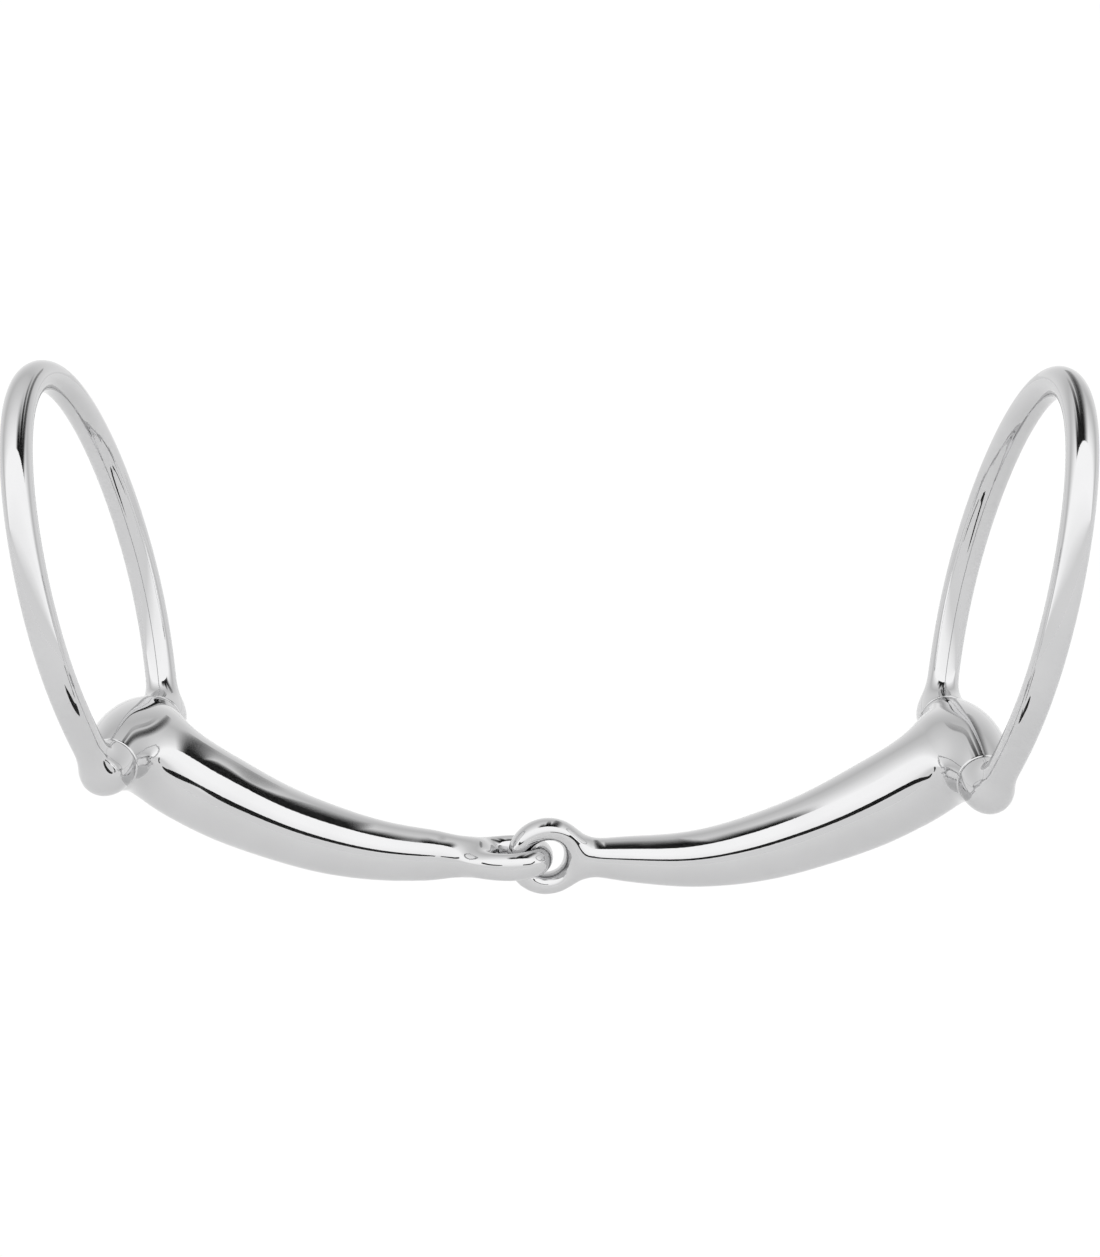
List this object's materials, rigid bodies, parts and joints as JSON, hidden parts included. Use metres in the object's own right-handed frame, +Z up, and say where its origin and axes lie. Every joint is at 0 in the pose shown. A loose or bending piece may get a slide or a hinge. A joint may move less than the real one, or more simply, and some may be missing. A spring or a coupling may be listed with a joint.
{
  "type": "snaffle bit",
  "caption": "single-jointed eggbutt snaffle bit: two curved tapering cannons linked by interlocked eyes, with an oval ring turning on a barrel at each end",
  "frame": {"origin": "the centre of the right cannon's eye, where the mouthpiece folds and lies over the horse's tongue", "axes": "+X along the mouthpiece towards the right cannon, +Y along the barrels away from the front, +Z up towards the rings"},
  "size_m": [0.1763, 0.0621, 0.0887],
  "materials": {
    "polished_steel": "mirror-polished stainless steel, with faint buffing lines",
    "pin_steel": "turned stainless steel"
  },
  "bodies": {
    "left_cannon": {"left_cannon": "polished_steel"},
    "right_cannon": {"right_cannon": "polished_steel"},
    "left_ring": {"left_ring": "polished_steel", "left_pivot_pin": "pin_steel"},
    "right_ring": {"right_ring": "polished_steel", "right_pivot_pin": "pin_steel"}
  },
  "joints": [
    {"name": "mouthpiece_fold", "type": "hinge", "parent": "left_cannon", "child": "right_cannon", "pos_m": [0, 0, 0], "axis": [-0.1321, 0.9898, 0.0541], "range_deg": [-90, 90]},
    {"name": "left_ring_swing", "type": "hinge", "parent": "left_cannon", "child": "left_ring", "pos_m": [-0.07002, 0.01187, 0.01588], "axis": [0.1803, 0.9821, -0.0541], "range_deg": [-180, 104]},
    {"name": "right_ring_swing", "type": "hinge", "parent": "right_cannon", "child": "right_ring", "pos_m": [0.0703, 0.00852, 0.01579], "axis": [0.1321, -0.9898, -0.0541], "range_deg": [-180, 104]}
  ]
}
